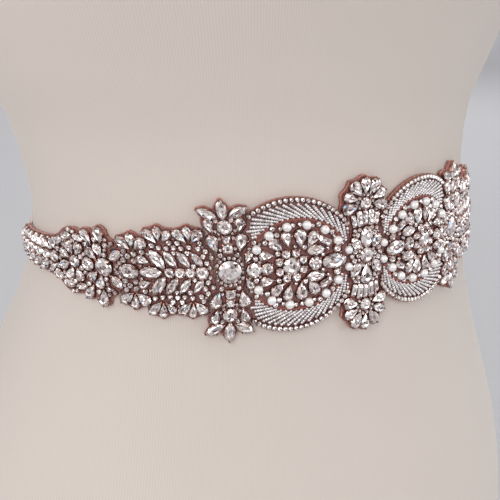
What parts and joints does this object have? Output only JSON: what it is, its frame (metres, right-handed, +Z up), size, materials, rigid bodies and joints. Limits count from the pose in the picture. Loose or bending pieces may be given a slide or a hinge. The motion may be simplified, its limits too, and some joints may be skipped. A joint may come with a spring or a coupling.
{
  "type": "bridal sash on limbless dress form",
  "caption": "Jewelled bridal sash of applique panels with a satin ribbon, worn round the waist of a smooth limbless dress form that stands on its flat base.",
  "frame": {"origin": "on the flat base of the dress form, under the middle of its waist", "axes": "+Z up, +X to the wearer's left, and the front faces -Y"},
  "size_m": [0.3282, 0.2763, 0.67],
  "materials": {
    "rose_backing": "rose backing set with silver stones and pearls",
    "blush_satin": "satin",
    "form_cover": "smooth fine-knit cover"
  },
  "bodies": {
    "root": {"applique_centre": "rose_backing", "applique_medallion_left": "rose_backing", "applique_medallion_right": "rose_backing", "applique_cross_left": "rose_backing", "applique_cross_right": "rose_backing", "applique_branch_left": "rose_backing", "applique_branch_right": "rose_backing", "applique_end_left": "rose_backing", "applique_end_right": "rose_backing", "ribbon_left": "blush_satin", "ribbon_right": "blush_satin", "dress_form": "form_cover"}
  },
  "joints": []
}
